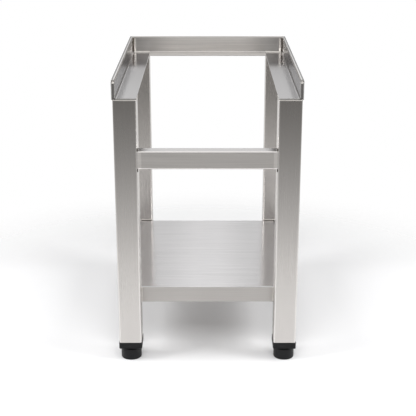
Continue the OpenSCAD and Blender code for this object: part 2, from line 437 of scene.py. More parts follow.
# %% Brush the steel
WARM_STEEL = (0.640, 0.615, 0.592)
GRAIN_ALONG = 6.0
GRAIN_ACROSS = 1500.0
BAND_ALONG = 5.0
BAND_ACROSS = 240.0
BAND_OFFSET = (3.1, 1.7, 5.3)
CLOUD_SCALE = 7.0
STREAK_TONE = 0.03
STREAK_POLISH = 0.1
CLOUD_POLISH = 0.07
STREAK_RELIEF = 0.10


def toward_ends(tree, place, axis, start, end, amount):
    """A factor of 1 that changes to amount between start and end: to both sides, or to the rear."""
    along = split_axes(tree, place)[axis]
    if axis != Y:
        along = add_math(tree, "ABSOLUTE", along, 0.0)
    return ramp(tree, along, start, end, 1.0, amount)


def brushed_steel(name, grain, roughness=0.3, smear=0.75, colour=WARM_STEEL, contrast=1.0, ends=None,
                  depth=0.02 * MM, streaking=0.018):
    """Stainless steel that is brushed along one axis of the stand. Its ends can have another tone."""
    steel, tree = new_paint("steel_" + name)
    surface = tree.nodes["Principled BSDF"]
    surface.inputs["Metallic"].default_value = 1.0
    surface.inputs["Anisotropic"].default_value = smear
    place = add_node(tree, "TexCoord").outputs["Object"]
    grain_scale = [GRAIN_ACROSS] * 3
    grain_scale[grain] = GRAIN_ALONG
    band_scale = [BAND_ACROSS] * 3
    band_scale[grain] = BAND_ALONG
    streaks = noise(tree, place, grain_scale, 2.0)
    bands = noise(tree, place, band_scale, 3.0, BAND_OFFSET)
    clouds = noise(tree, place, [CLOUD_SCALE] * 3, 4.0)
    tone = times(tree, spread(tree, streaks, 1.0, STREAK_TONE * contrast),
                 spread(tree, bands, 1.0, streaking))
    if ends:
        tone = times(tree, tone, toward_ends(tree, place, *ends))
    polish = times(tree, spread(tree, streaks, roughness, STREAK_POLISH),
                   spread(tree, clouds, 1.0, CLOUD_POLISH))
    finish_with(tree, surface, colour, tone, polish, streaks, STREAK_RELIEF, depth)
    tangent = add_node(tree, "Tangent")
    tangent.direction_type = "RADIAL"
    tangent.axis = "XYZ"[grain]
    feed(tree, tangent.outputs[0], surface.inputs["Tangent"])
    return steel


print("A streak is", GRAIN_ACROSS / GRAIN_ALONG, "times as long as wide")

# %% [markdown]
# One steel is mixed for each kind of face. The legs and the shelf have the longest smear. The rear legs
# get a darker steel, which is painted shade for the shade of the room they stand deeper in. The shelf
# is a little cooler, and lighter than the legs as painted light, with painted shade towards its sides.
# The lengthwise steel grows lighter towards the rear, as painted light. The inside of the back is
# lighter as painted light too, and darker towards its corners as painted shade, where two walls mirror
# each other. The narrow round edges are smoother than the flats, because a fold stretches the scratches
# away, and their steel is painted lighter: together this draws the fine bright lines along them, which
# are partly a painted highlight.

# %% Mix the steels
REAR_STEEL_PAINTED_SHADE = (0.555, 0.531, 0.508)
COOL_STEEL_PAINTED_LIGHT = (0.808, 0.797, 0.803)
PLAIN_STEEL = (0.655, 0.642, 0.644)
BACK_STEEL_PAINTED_LIGHT = (0.805, 0.776, 0.747)
MATT_STEEL = (0.630, 0.605, 0.581)
EDGE_STEEL_PAINTED_HIGHLIGHT = (0.800, 0.776, 0.754)
SHADED_STEEL = (0.30, 0.29, 0.28)
GRAZING_TINT = (0.7, 0.7, 0.7, 1)
PAINTED_LIGHT_TO_REAR = (Y, 80 * MM, 230 * MM, 1.45)
PAINTED_CORNER_SHADE = (X, 75 * MM, 200 * MM, 0.45)
SHELF_SIDES_PAINTED_SHADE = (X, 15 * MM, 115 * MM, 0.86)
LEG_RELIEF = 0.014 * MM
SHELF_RELIEF = 0.008 * MM

steel_along_z = brushed_steel("brushed_upright", Z, 0.25, 0.95, contrast=0.5, depth=LEG_RELIEF)
# A darker steel for the rear legs: painted shade.
rear_leg_painted_shade_steel = brushed_steel("rear_legs_painted_shade", Z, 0.25, 0.95, REAR_STEEL_PAINTED_SHADE, 0.5, depth=LEG_RELIEF)
steel_along_x = brushed_steel("brushed_across", X, 0.36, 0.9)
# Lighter towards the rear as painted light.
steel_along_y = brushed_steel("brushed_lengthwise", Y, 0.16, 0.6, PLAIN_STEEL, ends=PAINTED_LIGHT_TO_REAR)
# The inside of the back: lighter as painted light, darker towards the corners as painted shade.
back_steel = brushed_steel("back", X, 0.50, 0.9, BACK_STEEL_PAINTED_LIGHT, 2.5, PAINTED_CORNER_SHADE, streaking=0.09)
back_flange_steel = brushed_steel("back_flange", X, 0.50, 0.9)
for steel in (steel_along_y, back_steel, back_flange_steel):
    steel.node_tree.nodes["Principled BSDF"].inputs["Specular Tint"].default_value = GRAZING_TINT
# The plates and strips that sit in shade get this darker steel as painted shade.
shade_painted_steel = brushed_steel("in_shade", X, 0.4, 0.3, SHADED_STEEL)
# The shelf's steel is lighter as painted light, with painted shade towards its sides.
shelf_steel = brushed_steel("shelf", X, 0.24, 0.95, COOL_STEEL_PAINTED_LIGHT, 2.4, SHELF_SIDES_PAINTED_SHADE, SHELF_RELIEF, 0.04)
# Lighter steel for the round edges: partly a painted highlight.
edge_along_x = brushed_steel("edge_across", X, 0.14, 0.6, EDGE_STEEL_PAINTED_HIGHLIGHT)
edge_along_y = brushed_steel("edge_lengthwise", Y, 0.14, 0.6, EDGE_STEEL_PAINTED_HIGHLIGHT)
edge_along_z = brushed_steel("edge_upright", Z, 0.14, 0.6, EDGE_STEEL_PAINTED_HIGHLIGHT)
lip_steel = brushed_steel("shelf_lip", X, 0.42, 0.9, MATT_STEEL, 1.2, streaking=0.02)
print("Mixed", len([m for m in bpy.data.materials if m.name.startswith("steel")]), "steels")

# %% [markdown]
# ## Weld metal, zinc and black plastic
#
# A weld on stainless steel is brighter and rounder than the brushed tube, with a little straw colour
# from the heat. A dark brown is painted shade, for the seams and corners where parts meet. A sawn edge
# of sheet is duller than its face.
# The nuts and studs are zinc plated: a cool grey with a fine mottle.
# The feet are moulded plastic, black but not perfectly so, with a soft sheen and fine grain.

# %% Mix the other finishes
MOTTLE_CLOUD_SHARE = 1 / 12
MOTTLE_OFFSET = (1.3, 4.1, 2.2)
MOTTLE_POLISH = 0.15
MOTTLE_RELIEF = 0.4
PLASTIC_SHINE = 0.22


def mottled(name, colour, metallic, roughness, scale, contrast, dent):
    """A finish with an even mottle in its colour, its polish and its surface."""
    finish, tree = new_paint(name)
    surface = tree.nodes["Principled BSDF"]
    surface.inputs["Metallic"].default_value = metallic
    place = add_node(tree, "TexCoord").outputs["Object"]
    grain = noise(tree, place, [scale] * 3, 3.0)
    clouds = noise(tree, place, [scale * MOTTLE_CLOUD_SHARE] * 3, 2.0, MOTTLE_OFFSET)
    tone = times(tree, spread(tree, grain, 1.0, contrast),
                 spread(tree, clouds, 1.0, contrast))
    polish = spread(tree, clouds, roughness, MOTTLE_POLISH)
    finish_with(tree, surface, colour, tone, polish, grain, MOTTLE_RELIEF, dent)
    return finish


weld_metal = mottled("weld_metal", (0.76, 0.73, 0.69), 1.0, 0.34, 900, 0.06, 0.05 * MM)
zinc = mottled("zinc_plate", (0.60, 0.61, 0.63), 1.0, 0.38, 500, 0.05, 0.02 * MM)
# Painted shade: a dark brown for the seams and corners where parts meet.
painted_seam_shade = mottled("painted_seam_shade", (0.10, 0.085, 0.07), 0.7, 0.5, 900, 0.15, 0.05 * MM)
cut_edge = mottled("steel_cut_edge", (0.64, 0.63, 0.615), 1.0, 0.46, 1600, 0.05, 0.02 * MM)
black_plastic = mottled("black_plastic", (0.0085, 0.0085, 0.0095), 0.0, 0.40, 1300, 0.08, 0.03 * MM)
shine = black_plastic.node_tree.nodes["Principled BSDF"].inputs["Specular IOR Level"]
shine.default_value = PLASTIC_SHINE
print("The finishes are", sorted(paint.name for paint in bpy.data.materials))

# %% [markdown]
# ## A small bench of tools
#
# Every piece below starts as a plain block, disc or sheet at its real place, and is then shaped in
# edit mode. A hand picks an edge by where it lies or which way it runs, and code can do the same. Most
# helpers here make a test, and pick() selects the parts that pass it. The numbers of faces and edges
# are of no use for this, because they change with every bevel.

# %% Pick parts by their place
CLOSE = 0.01 * MM
STRAIGHT = 0.99
MOSTLY = 0.9


def take_up(piece):
    """Makes a piece the only one selected."""
    put_down()
    piece.select_set(True)
    bpy.context.view_layer.objects.active = piece


def pick(piece, kind, test):
    """Opens a piece for editing with only the chosen VERT, EDGE or FACE parts selected."""
    take_up(piece)
    bpy.ops.object.mode_set(mode="EDIT")
    bpy.ops.mesh.select_mode(type=kind)
    bpy.ops.mesh.select_all(action="DESELECT")
    mesh = bmesh.from_edit_mesh(piece.data)
    for part in {"VERT": mesh.verts, "EDGE": mesh.edges, "FACE": mesh.faces}[kind]:
        if test(part):
            part.select_set(True)
    bmesh.update_edit_mesh(piece.data)


def runs_along(axis):
    """Picks edges that run along an axis."""
    def test(edge):
        step = edge.verts[1].co - edge.verts[0].co
        return abs(step[axis]) > STRAIGHT * step.length
    return test


def lies_at(axis, value):
    """Picks parts whose points all have one coordinate at a value."""
    def test(part):
        points = part.verts if hasattr(part, "verts") else [part]
        return all(abs(point.co[axis] - value) < CLOSE for point in points)
    return test


def both(first, second):
    """Picks parts that pass two tests."""
    return lambda part: first(part) and second(part)


def push(step):
    """Extrudes the picked parts by a step."""
    bpy.ops.mesh.extrude_region_move(TRANSFORM_OT_translate={"value": step})


def is_round(face):
    """True for the faces of a round corner, which look along none of the axes."""
    return max(abs(part) for part in face.normal) < STRAIGHT


print("Parts within", CLOSE / MM, "mm of a place are picked")

# %% [markdown]
# No edge of real metal is quite sharp. A bevel of three narrow steps breaks each sharp edge. Weighted
# normals then let the large faces stay truly flat, while only the narrow round is shaded softly.

# %% Finish a shape
SAME_POINT = 0.001 * MM
SOFT_EDGE = 0.3 * MM
SHARP_ABOVE = 40
SMOOTH_BELOW = 50


def apply_modifier(piece, kind, **settings):
    """Adds a modifier, sets it and applies it."""
    take_up(piece)
    modifier = piece.modifiers.new(kind.title(), kind)
    for name, value in settings.items():
        setattr(modifier, name, value)
    bpy.ops.object.modifier_apply(modifier=modifier.name)


def even_shading(piece, angle=SMOOTH_BELOW):
    """Smooths the round parts and lets the large faces stay truly flat."""
    take_up(piece)
    bpy.ops.object.shade_smooth_by_angle(angle=math.radians(angle))
    apply_modifier(piece, "WEIGHTED_NORMAL", mode="FACE_AREA", weight=100, keep_sharp=True)


def soften(piece, width=SOFT_EDGE):
    """Breaks the sharp edges with a narrow round, so that they catch the light."""
    apply_modifier(piece, "BEVEL", width=width, segments=3, limit_method="ANGLE",
                   angle_limit=math.radians(SHARP_ABOVE))
    even_shading(piece)


def outward(piece):
    """Merges doubled points and turns all faces outward."""
    pick(piece, "FACE", lambda face: True)
    bpy.ops.mesh.remove_doubles(threshold=SAME_POINT)
    bpy.ops.mesh.normals_make_consistent(inside=False)
    put_down()


print("Sharp edges get a round of", SOFT_EDGE / MM, "mm")

# %% [markdown]
# The stand has four of many things. Each is made once, at the front left, and copied with a mesh of
# its own to the places that the frame gives. A finished piece then takes its paint, the body that it
# moves with and the nodes of the frame that it stands for.

# %% Copy, paint and hand over


def copy_piece(piece, name, step):
    """A copy with its own mesh, moved by a step."""
    take_up(piece)
    bpy.ops.object.duplicate(linked=False)
    bpy.context.object.location = Vector(step)
    return settle(name)


def make_four(name, node, shape):
    """Shapes the front left piece and copies it to the other corners. Gives the four by corner."""
    low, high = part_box(node + "_front_left")
    four = {"front_left": shape(name + "_front_left", low, high)}
    for corner in CORNERS[1:]:
        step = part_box(node + "_" + corner)[0] - low
        four[corner] = copy_piece(four["front_left"], name + "_" + corner, step)
    return four


def paint_faces(piece, paint, test):
    """Gives the faces that pass a test a finish of their own."""
    piece.data.materials.append(paint)
    for face in piece.data.polygons:
        if test(face):
            face.material_index = len(piece.data.materials) - 1


def hand_over(piece, paint, slot, *node_names, body="frame"):
    """Paints a piece, fixes it to its body and lets it stand for its nodes. The slot is not used."""
    piece.data.materials.clear()
    piece.data.materials.append(paint)
    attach(piece, body)
    if node_names:
        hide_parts(*node_names)


print("A piece made once is copied to", len(CORNERS) - 1, "more corners")

# %% [markdown]
# ## Box tube
#
# The legs and rails are square tube: sheet that was bent into a box and welded shut, so its corners
# are round and its walls are thin. Starting from a block keeps the outside exact. The long edges are
# bevelled round, the two ends are deleted, and Solidify grows the wall inwards.
#
# The round corners of the front legs get the smooth edge steel, whose lighter tone is partly a painted
# highlight, because they stand out against the white of the room. Those of the rear legs keep the
# darker tone of their faces, which is painted shade.

# %% Stand up the legs
LEG_CORNER = 4 * MM
LEG_WALL = 2 * MM
TUBE_STEPS = 8


def add_block(name, low, high):
    """A block between two corners."""
    put_down()
    low, high = Vector(low), Vector(high)
    bpy.ops.mesh.primitive_cube_add(size=1, location=(low + high) / 2, scale=high - low)
    return settle(name)


def box_tube(name, low, high, axis, corner, wall):
    """Box tube between two corners, open at both ends."""
    tube = add_block(name, low, high)
    pick(tube, "EDGE", runs_along(axis))
    bpy.ops.mesh.bevel(offset=corner, segments=TUBE_STEPS)
    pick(tube, "FACE", lambda face: abs(face.normal[axis]) > STRAIGHT)
    bpy.ops.mesh.delete(type="FACE")
    outward(tube)
    apply_modifier(tube, "SOLIDIFY", thickness=wall, offset=-1, use_even_offset=True)
    soften(tube)
    return tube


legs = make_four("leg_tube", "leg",
                 lambda name, low, high: box_tube(name, low, high, Z, LEG_CORNER, LEG_WALL))
for corner, leg in legs.items():
    at_front = corner.startswith("front")
    hand_over(leg, steel_along_z if at_front else rear_leg_painted_shade_steel, "leg_steel", "leg_" + corner)
    if at_front:
        paint_faces(leg, edge_along_z, is_round)
print("Stood up", len(legs), "legs")

# %% [markdown]
# The crossrail ties the front legs together. Its ends were ground after welding and are a little
# brighter there. Its top is painted lighter than its front as painted light, and darker towards the
# legs as painted shade. Two lower rails run along the sides and carry the shelf.

# %% Fit the rails
RAIL_TOP_STEEL_PAINTED_LIGHT = (0.740, 0.725, 0.722)
RAIL_CORNER = 3.5 * MM
SIDE_RAIL_CORNER = 3 * MM
SIDE_RAIL_WALL = 1.5 * MM
GROUND_BAND = 9 * MM
GROUND_FADE = 2 * MM
GROUND_TONE = 1.22
END_SHADE_BAND = 18 * MM
END_SHADE_TONE = 0.42

rail_low, rail_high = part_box("front_crossrail")
crossrail = box_tube("crossrail_tube", rail_low, rail_high, X, RAIL_CORNER, LEG_WALL)
ground_from = rail_high.x - GROUND_BAND
rail_front = brushed_steel("rail_front", X, 0.36, 0.9, MATT_STEEL, 2.8,
                           (X, ground_from, ground_from + GROUND_FADE, GROUND_TONE), streaking=0.035)
# The top: lighter as painted light, darker towards the legs as painted shade.
rail_top = brushed_steel("rail_top", X, 0.30, 0.8, RAIL_TOP_STEEL_PAINTED_LIGHT,
                         ends=(X, rail_high.x - END_SHADE_BAND, rail_high.x, END_SHADE_TONE))
hand_over(crossrail, rail_front, "leg_steel", "front_crossrail")
paint_faces(crossrail, edge_along_x, is_round)
paint_faces(crossrail, rail_top, lambda face: face.normal.z > MOSTLY)

for side, name in SIDES:
    low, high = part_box("side_rail_" + name)
    side_rail = box_tube("side_rail_tube_" + name, low, high, Y, SIDE_RAIL_CORNER, SIDE_RAIL_WALL)
    hand_over(side_rail, steel_along_y, "leg_steel", "side_rail_" + name)
print("The crossrail is", round((rail_high.x - rail_low.x) / MM), "mm long")

# %% [markdown]
# ## The folded top frame
#
# Each side of the top is one sheet: a flat flange on the legs, folded up into a wall, and folded over
# and down again so that no cut edge is left on top. Such a sheet is best drawn as its middle surface.
# One strip is extruded along the section, the folds are bevelled round, and Solidify gives the sheet
# its thickness on both sides.

# %% Fold a strip
SHEET = 2 * MM
FOLD = 3 * MM
HEM_GAP = 4.5 * MM
HEM = 2 * SHEET + HEM_GAP
MID_FOLD = FOLD + SHEET / 2
MID_HEM = (HEM - SHEET) / 2
FOLD_STEPS = 6
HEM_STEPS = 7

flange_low, flange_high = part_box("side_upstand_left")
back_low, back_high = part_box("back_upstand")
flange_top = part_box("leg_cap_front_left")[1].z + SHEET
leaf_bottom = flange_low.z


def folded_strip(name, reach, length):
    """The sheet's section, drawn from the outer leaf at x = 0 inwards, and run back from y = 0."""
    put_down()
    fold_x = HEM - SHEET / 2
    middle = ((fold_x + reach) / 2, -length / 2, flange_top - SHEET / 2)
    bpy.ops.mesh.primitive_plane_add(size=1, location=middle)
    bpy.context.object.scale = (reach - fold_x, length, 1)
    strip = settle(name)
    top_z = flange_high.z - SHEET / 2
    pick(strip, "EDGE", lies_at(X, fold_x))
    for step in ((0, 0, top_z - middle[Z]), (-2 * MID_HEM, 0, 0), (0, 0, leaf_bottom - top_z)):
        push(step)
    pick(strip, "EDGE", both(lies_at(X, fold_x), lies_at(Z, middle[Z])))
    bpy.ops.mesh.bevel(offset=MID_FOLD, segments=FOLD_STEPS)
    pick(strip, "EDGE", both(lies_at(Z, top_z), runs_along(Y)))
    bpy.ops.mesh.bevel(offset=MID_HEM, segments=HEM_STEPS)
    outward(strip)
    apply_modifier(strip, "SOLIDIFY", thickness=SHEET, offset=0, use_even_offset=True)
    outward(strip)
    return strip


print("The folded sheet is", HEM / MM, "mm wide at the top of its wall")

# %% [markdown]
# The three sheets meet at the two rear corners. The round-topped wall is cut on the mitre, and the
# back flange butts between the side flanges. Two blocks make each cut: a plain one for the flange,
# and one turned by half a right angle for the mitre, both with a corner on the inner corner of the
# wall. A block serves as a knife here, because a Boolean works on closed shapes.

# %% Cut the side sheets
KNIFE_LOW = 0.5
KNIFE_HIGH = 0.7
FAR = 0.1
SHEET_ROUND = 0.5 * MM
HALF_RIGHT = math.radians(45)
inner_x = flange_low.x + HEM
inner_y = back_high.y - HEM
inner = (inner_x, inner_y, 0)


def cut_away(piece, low, high, turn=0.0):
    """Cuts a block out of a piece. The block can be turned about the inner corner of the wall."""
    knife = add_block("knife", (*low, KNIFE_LOW), (*high, KNIFE_HIGH))
    if turn:
        pick(knife, "FACE", lambda face: True)
        bpy.ops.transform.rotate(value=-turn, orient_axis="Z", center_override=inner)
        put_down()
    apply_modifier(piece, "BOOLEAN", operation="DIFFERENCE", object=knife, solver="EXACT")
    bpy.data.objects.remove(knife)


left_sheet = folded_strip("side_sheet_left", flange_high.x - flange_low.x, flange_high.y - flange_low.y)
take_up(left_sheet)
left_sheet.location = (flange_low.x, flange_high.y, 0)
left_sheet = settle("side_sheet_left")
for turn in (0.0, HALF_RIGHT):
    cut_away(left_sheet, (inner_x, inner_y), (inner_x + FAR, inner_y + FAR), turn)

take_up(left_sheet)
bpy.ops.object.duplicate(linked=False)
bpy.context.object.scale = (-1, 1, 1)
right_sheet = settle("side_sheet_right")
outward(right_sheet)
for sheet in (left_sheet, right_sheet):
    soften(sheet, SHEET_ROUND)
print("The side sheets are", round((flange_high.y - flange_low.y) / MM), "mm long")

# %% [markdown]
# The back sheet is the same fold, turned to run across. It is cut at its left end only, and a mirror
# through the middle of the stand gives it the other half, so both of its ends are alike.

# %% Cut the back sheet
ACROSS = (True, False, False)

back_sheet = folded_strip("back_sheet", back_high.y - back_low.y, back_high.x - back_low.x)
take_up(back_sheet)
back_sheet.rotation_euler = (0, 0, -math.pi / 2)
back_sheet.location = (back_high.x, back_high.y, 0)
back_sheet = settle("back_sheet")
cut_away(back_sheet, (back_low.x - FAR, inner_y - FAR), (flange_high.x, inner_y))
cut_away(back_sheet, (inner_x - FAR, inner_y - FAR), (inner_x, inner_y), -HALF_RIGHT)
apply_modifier(back_sheet, "MIRROR", use_axis=ACROSS, use_bisect_axis=ACROSS,
               use_bisect_flip_axis=ACROSS, merge_threshold=CLOSE)
outward(back_sheet)
soften(back_sheet, SHEET_ROUND)
print("The back sheet is", round((back_high.x - back_low.x) / MM), "mm long")

# %% [markdown]
# The round folds get the edge steel of their own direction, whose lighter tone is partly a painted
# highlight. The inside of the back gets its lighter tone as painted light, with painted shade towards
# its corners, and the cut ends at the front the duller finish of a sawn edge.

# %% Paint the three sheets


def above(z):
    """Picks faces whose middle lies above a height."""
    return lambda face: face.center.z > z


hem_from = flange_high.z - HEM
hand_over(back_sheet, back_flange_steel, "sheet_steel", "back_upstand")
paint_faces(back_sheet, edge_along_x, lambda face: is_round(face) and face.center.z < hem_from)
paint_faces(back_sheet, back_steel, both(lambda face: face.normal.y < -MOSTLY, above(flange_top)))
for name, sheet in (("left", left_sheet), ("right", right_sheet)):
    hand_over(sheet, steel_along_y, "sheet_steel", "side_upstand_" + name)
    paint_faces(sheet, edge_along_y, both(is_round, above(hem_from)))
    paint_faces(sheet, cut_edge, lambda face: face.normal.y < -MOSTLY)
print("Painted 3 sheets")

# %% [markdown]
# ## The shelf
#
# The shelf is a shallow tray turned upside down: a flat sheet with its four edges folded down.
# A block without its bottom face is already that shape. The four top edges are bevelled to the
# radius of the fold, and the wall grows inwards.

# %% Fold the shelf
SHELF_SHEET = 1.5 * MM
SHELF_EDGE = 3.5 * MM
SHELF_ROUND = 0.2 * MM
HALF_UP = 0.5

shelf_low, shelf_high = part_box("lower_shelf")
shelf = add_block("shelf_tray", shelf_low, shelf_high)
pick(shelf, "FACE", lies_at(Z, shelf_low.z))
bpy.ops.mesh.delete(type="FACE")
pick(shelf, "EDGE", lies_at(Z, shelf_high.z))
bpy.ops.mesh.bevel(offset=SHELF_EDGE, segments=FOLD_STEPS)
outward(shelf)
apply_modifier(shelf, "SOLIDIFY", thickness=SHELF_SHEET, offset=-1, use_even_offset=True)
soften(shelf, SHELF_ROUND)
# Its top is painted light, darkening to painted shade towards the sides.
hand_over(shelf, shelf_steel, "shelf_steel", "lower_shelf")
paint_faces(shelf, lip_steel, lambda face: face.normal.z < HALF_UP)
print("The shelf is", [round(side / MM) for side in shelf_high - shelf_low], "mm")

# %% [markdown]
# ## The feet
#
# Each leg ends in a black plastic plug with a square collar. Below it a round pad hangs on a threaded
# stud, and turning the pad levels the stand. The pad is a cylinder with soft edges, a hole for the
# stud and a shallow hollow underneath, as moulded feet have.

# %% Turn the pads
PAD_EDGE = 1.5 * MM
PAD_ROUND = 0.25 * MM
PAD_STEPS = 4
STUD_HOLE = 5.05 * MM
HOLE_DEPTH = 15.3 * MM
SOLE_RIM = 4 * MM
SOLE_HOLLOW = 1 * MM


def turn_pad(name, low, high):
    """A foot pad that stands between two corners."""
    put_down()
    radius = (high.x - low.x) / 2
    bpy.ops.mesh.primitive_cylinder_add(vertices=64, radius=radius, depth=high.z - low.z,
                                        location=(low + high) / 2)
    pad = settle(name)
    pick(pad, "EDGE", lambda edge: lies_at(Z, low.z)(edge) or lies_at(Z, high.z)(edge))
    bpy.ops.mesh.bevel(offset=PAD_EDGE, segments=PAD_STEPS)
    pick(pad, "FACE", lies_at(Z, high.z))
    bpy.ops.mesh.inset(thickness=radius - PAD_EDGE - STUD_HOLE)
    push((0, 0, -HOLE_DEPTH))
    pick(pad, "FACE", lies_at(Z, low.z))
    bpy.ops.mesh.inset(thickness=SOLE_RIM)
    push((0, 0, SOLE_HOLLOW))
    outward(pad)
    soften(pad, PAD_ROUND)
    return pad


pads = make_four("pad", "foot_pad", turn_pad)
for corner, pad in pads.items():
    hand_over(pad, black_plastic, "black_plastic", "foot_pad_" + corner, body="pad_" + corner)
print("Turned", len(pads), "pads")

# %% [markdown]
# The stud's thread is a true helix. A zigzag of one pitch is all that has to be drawn: the Screw
# modifier carries it round and up. It is seen when a foot is screwed out.

# %% Cut the threads
PITCH = 1.5 * MM
THREAD_DEPTH = 0.8 * MM
THREAD_STEPS = 20
THREAD_SMOOTH = 40


def cut_thread(name, low, high):
    """A threaded stud between two corners."""
    radius = (high.x - low.x) / 2
    turns = int((high.z - low.z) / PITCH) - 1
    put_down()
    bpy.ops.mesh.primitive_grid_add(x_subdivisions=1, y_subdivisions=2, size=PITCH,
                                    rotation=(math.pi / 2, 0, 0))
    stud = settle(name)
    pick(stud, "VERT", lambda point: point.co.x < 0)
    bpy.ops.mesh.delete(type="VERT")
    pick(stud, "VERT", lambda point: True)
    bpy.ops.transform.translate(value=(radius - THREAD_DEPTH - PITCH / 2, 0, PITCH / 2))
    pick(stud, "VERT", lies_at(Z, PITCH / 2))
    bpy.ops.transform.translate(value=(THREAD_DEPTH, 0, 0))
    put_down()
    apply_modifier(stud, "SCREW", screw_offset=PITCH, iterations=turns, steps=THREAD_STEPS,
                   render_steps=THREAD_STEPS, use_merge_vertices=True, merge_threshold=CLOSE)
    pick(stud, "EDGE", lambda edge: False)
    bpy.ops.mesh.select_non_manifold()
    bpy.ops.mesh.edge_face_add()
    put_down()
    stud.location = ((low.x + high.x) / 2, (low.y + high.y) / 2, low.z)
    take_up(stud)
    stud = settle(name)
    outward(stud)
    even_shading(stud, THREAD_SMOOTH)
    print("The thread of", name, "has", turns, "turns")
    return stud


studs = make_four("stud", "foot_stud", cut_thread)
for corner, stud in studs.items():
    hand_over(stud, zinc, "zinc_plate", "foot_stud_" + corner, body="stud_" + corner)

# %% [markdown]
# ## The welds
#
# A bead is a row of overlapping drops, one for each pulse of the welder's hand, so one flat drop and
# an Array modifier make it.

# %% Draw a bead
DROP_PITCH = 1.6 * MM
DROP_OVERLAP = 1.3
DROP_SEGMENTS = 10
DROP_RINGS = 6
BEAD_WIDTH = 2.2 * MM
BEAD_HEIGHT = 0.8 * MM


def bead(name, start, end, out, width=BEAD_WIDTH, height=BEAD_HEIGHT):
    """A weld bead from start to end, raised along the out axis."""
    start, end = Vector(start), Vector(end)
    run = end - start
    along = max(range(3), key=lambda axis: abs(run[axis]))
    size = [width / 2] * 3
    size[along] = DROP_PITCH * DROP_OVERLAP
    size[out] = height
    put_down()
    bpy.ops.mesh.primitive_uv_sphere_add(segments=DROP_SEGMENTS, ring_count=DROP_RINGS, radius=1,
                                         location=start)
    bpy.context.object.scale = size
    row = settle(name)
    count = max(2, round(run.length / DROP_PITCH))
    apply_modifier(row, "ARRAY", count=count, use_relative_offset=False, use_constant_offset=True,
                   constant_offset_displace=run / (count - 1))
    take_up(row)
    bpy.ops.object.shade_smooth()
    return row


def join_beads(name, beads):
    """Joins beads into one piece."""
    put_down()
    for one in beads:
        one.select_set(True)
    bpy.context.view_layer.objects.active = beads[0]
    bpy.ops.object.join()
    return settle(name)


print("A bead has a drop every", DROP_PITCH / MM, "mm")

# %% [markdown]
# Where the flange sits on a leg, short beads join the two on three faces, with a small break in the
# middle of each.

# %% Weld the flange to the legs
BEAD_BREAK = 1.6 * MM

for corner in CORNERS:
    low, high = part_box("leg_" + corner)
    mid = (low + high) / 2
    inner_side = high.x if corner.endswith("left") else low.x
    beads = []
    for face_y in (low.y, high.y):
        for sign in (-1, 1):
            near = (mid.x + sign * BEAD_BREAK, face_y, high.z)
            far = (mid.x + sign * ((high.x - low.x) / 2 - LEG_CORNER), face_y, high.z)
            beads.append(bead("bead", near, far, Y))
    for sign in (-1, 1):
        near = (inner_side, mid.y + sign * BEAD_BREAK, high.z)
        far = (inner_side, mid.y + sign * ((high.y - low.y) / 2 - LEG_CORNER), high.z)
        beads.append(bead("bead", near, far, X))
    hand_over(join_beads("flange_weld_" + corner, beads), weld_metal, "leg_steel")
print("Each leg has", len(beads), "beads under the flange")

# %% [markdown]
# The fold of each side sheet is open at its front end. A narrow strip closes it a little way inside,
# in a dark steel that is painted shade for the shade inside the fold. Its round top is filled with weld
# that slopes back as it rises, so it shines white: a block is cut along a slanted plane.

# %% Close the ends of the folds
STRIP_BACK = 2 * MM
STRIP_DEEP = 4 * MM
STRIP_OVERLAP = 1 * MM
PLUG_HIGH = 9 * MM
PLUG_DEEP = 12 * MM
PLUG_ROUND = 0.4 * MM
PLUG_UNDER_TOP = 0.4 * SHEET
PLUG_SLOPE = math.radians(32)
SLOPE_FROM = (0.3 * MM, 0.5 * MM)

plug_low = flange_high.z - PLUG_HIGH
strip_front = flange_low.y + STRIP_BACK
for side, name in SIDES:
    outer_x = side * abs(flange_low.x)
    gap_x = sorted((outer_x - side * SHEET, outer_x - side * (SHEET + HEM_GAP)))
    strip = add_block("hem_strip_" + name, (gap_x[0], strip_front, leaf_bottom),
                      (gap_x[1], strip_front + STRIP_DEEP, plug_low + STRIP_OVERLAP))
    soften(strip)
    hand_over(strip, shade_painted_steel, "sheet_steel")
    plug = add_block("hem_plug_" + name, (gap_x[0], flange_low.y, plug_low),
                     (gap_x[1], flange_low.y + PLUG_DEEP, flange_high.z - PLUG_UNDER_TOP))
    pick(plug, "FACE", lambda face: True)
    bpy.ops.mesh.bisect(plane_co=(0, flange_low.y + SLOPE_FROM[0], plug_low + SLOPE_FROM[1]),
                        plane_no=(0, -math.cos(PLUG_SLOPE), math.sin(PLUG_SLOPE)),
                        use_fill=True, clear_outer=True)
    soften(plug, PLUG_ROUND)
    hand_over(plug, weld_metal, "sheet_steel")
print("Closed the open ends of 2 folds,", HEM_GAP / MM, "mm wide")

# %% [markdown]
# In the two rear corners a ground weld runs up beside the seam, and another one lies on the flange
# where it butts against the back. Each is a bar that sits in the corner, with its free edges bevelled
# round. Beside the upright one, a dark strip in the seam is painted shade.

# %% Run the corner welds
WELD_WIDE = 4.5 * MM
WELD_PROUD = 1.8 * MM
FILLET = 3.2 * MM
BAR_ROUND = 0.95
BAR_STEPS = 6
SEAM_WIDE = 2.6 * MM
SEAM_PROUD = 0.3 * MM
SEAM_ROUND = 0.1 * MM


def weld_bar(name, low, high, edge_test, proud):
    """A bar of weld whose chosen edges are rounded off almost to its full height."""
    bar = add_block(name, low, high)
    pick(bar, "EDGE", edge_test)
    bpy.ops.mesh.bevel(offset=BAR_ROUND * proud, segments=BAR_STEPS)
    even_shading(bar)
    hand_over(bar, weld_metal, "sheet_steel")


